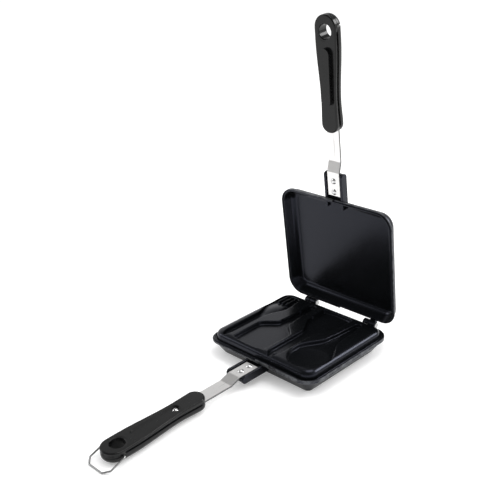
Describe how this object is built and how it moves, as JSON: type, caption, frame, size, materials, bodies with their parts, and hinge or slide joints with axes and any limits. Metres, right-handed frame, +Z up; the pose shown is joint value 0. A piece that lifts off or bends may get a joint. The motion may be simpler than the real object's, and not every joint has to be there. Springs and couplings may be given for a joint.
{
  "type": "double sided flip pan",
  "caption": "Hinged flip pan: two rectangular cast pans close rim to rim, each with a riveted strap and a long moulded handle, and a wire bail locks the handle ends.",
  "frame": {"origin": "centre of the lower pan's foot plane, on the surface that the pan stands on", "axes": "+X along the hinge line, the handles run towards -Y, +Z up"},
  "size_m": [0.148, 0.3547, 0.3503],
  "materials": {
    "pan_coating": "cast aluminium under a charcoal non-stick coating, semi-gloss, fine orange peel",
    "strap_steel": "brushed stainless steel, grain along the strap",
    "rivet_metal": "bright smooth rivet",
    "pin_steel": "bright steel pin with a turned head",
    "handle_phenolic": "moulded black phenolic, glossy",
    "screw_steel": "nickel plated cross-headed screw",
    "nut_steel": "zinc plated hexagon nut",
    "bail_steel": "bright drawn steel wire"
  },
  "bodies": {
    "lower": {"lower_pan": "pan_coating", "left_hinge_pin": "pin_steel", "right_hinge_pin": "pin_steel", "lower_strap": "strap_steel", "lower_rivet_near_rim": "rivet_metal", "lower_rivet_outer": "rivet_metal", "lower_handle_inner_shell": "handle_phenolic", "lower_handle_outer_shell": "handle_phenolic", "lower_handle_screw": "screw_steel", "lower_handle_nut": "nut_steel"},
    "lid": {"upper_pan": "pan_coating", "upper_strap": "strap_steel", "upper_rivet_near_rim": "rivet_metal", "upper_rivet_outer": "rivet_metal", "upper_handle_inner_shell": "handle_phenolic", "upper_handle_outer_shell": "handle_phenolic", "upper_handle_screw": "screw_steel", "upper_handle_nut": "nut_steel"},
    "bail": {"bail_wire": "bail_steel"}
  },
  "joints": [
    {"name": "lid_hinge", "type": "hinge", "parent": "lower", "child": "lid", "pos_m": [0, 0.0723, 0.01865], "axis": [1, 0, 0], "range_deg": [-96, 84]},
    {"name": "bail_pivot", "type": "hinge", "parent": "lower", "child": "bail", "pos_m": [0, -0.2465, 0.00865], "axis": [-1, 0, 0], "range_deg": [-135, 103.8]}
  ]
}
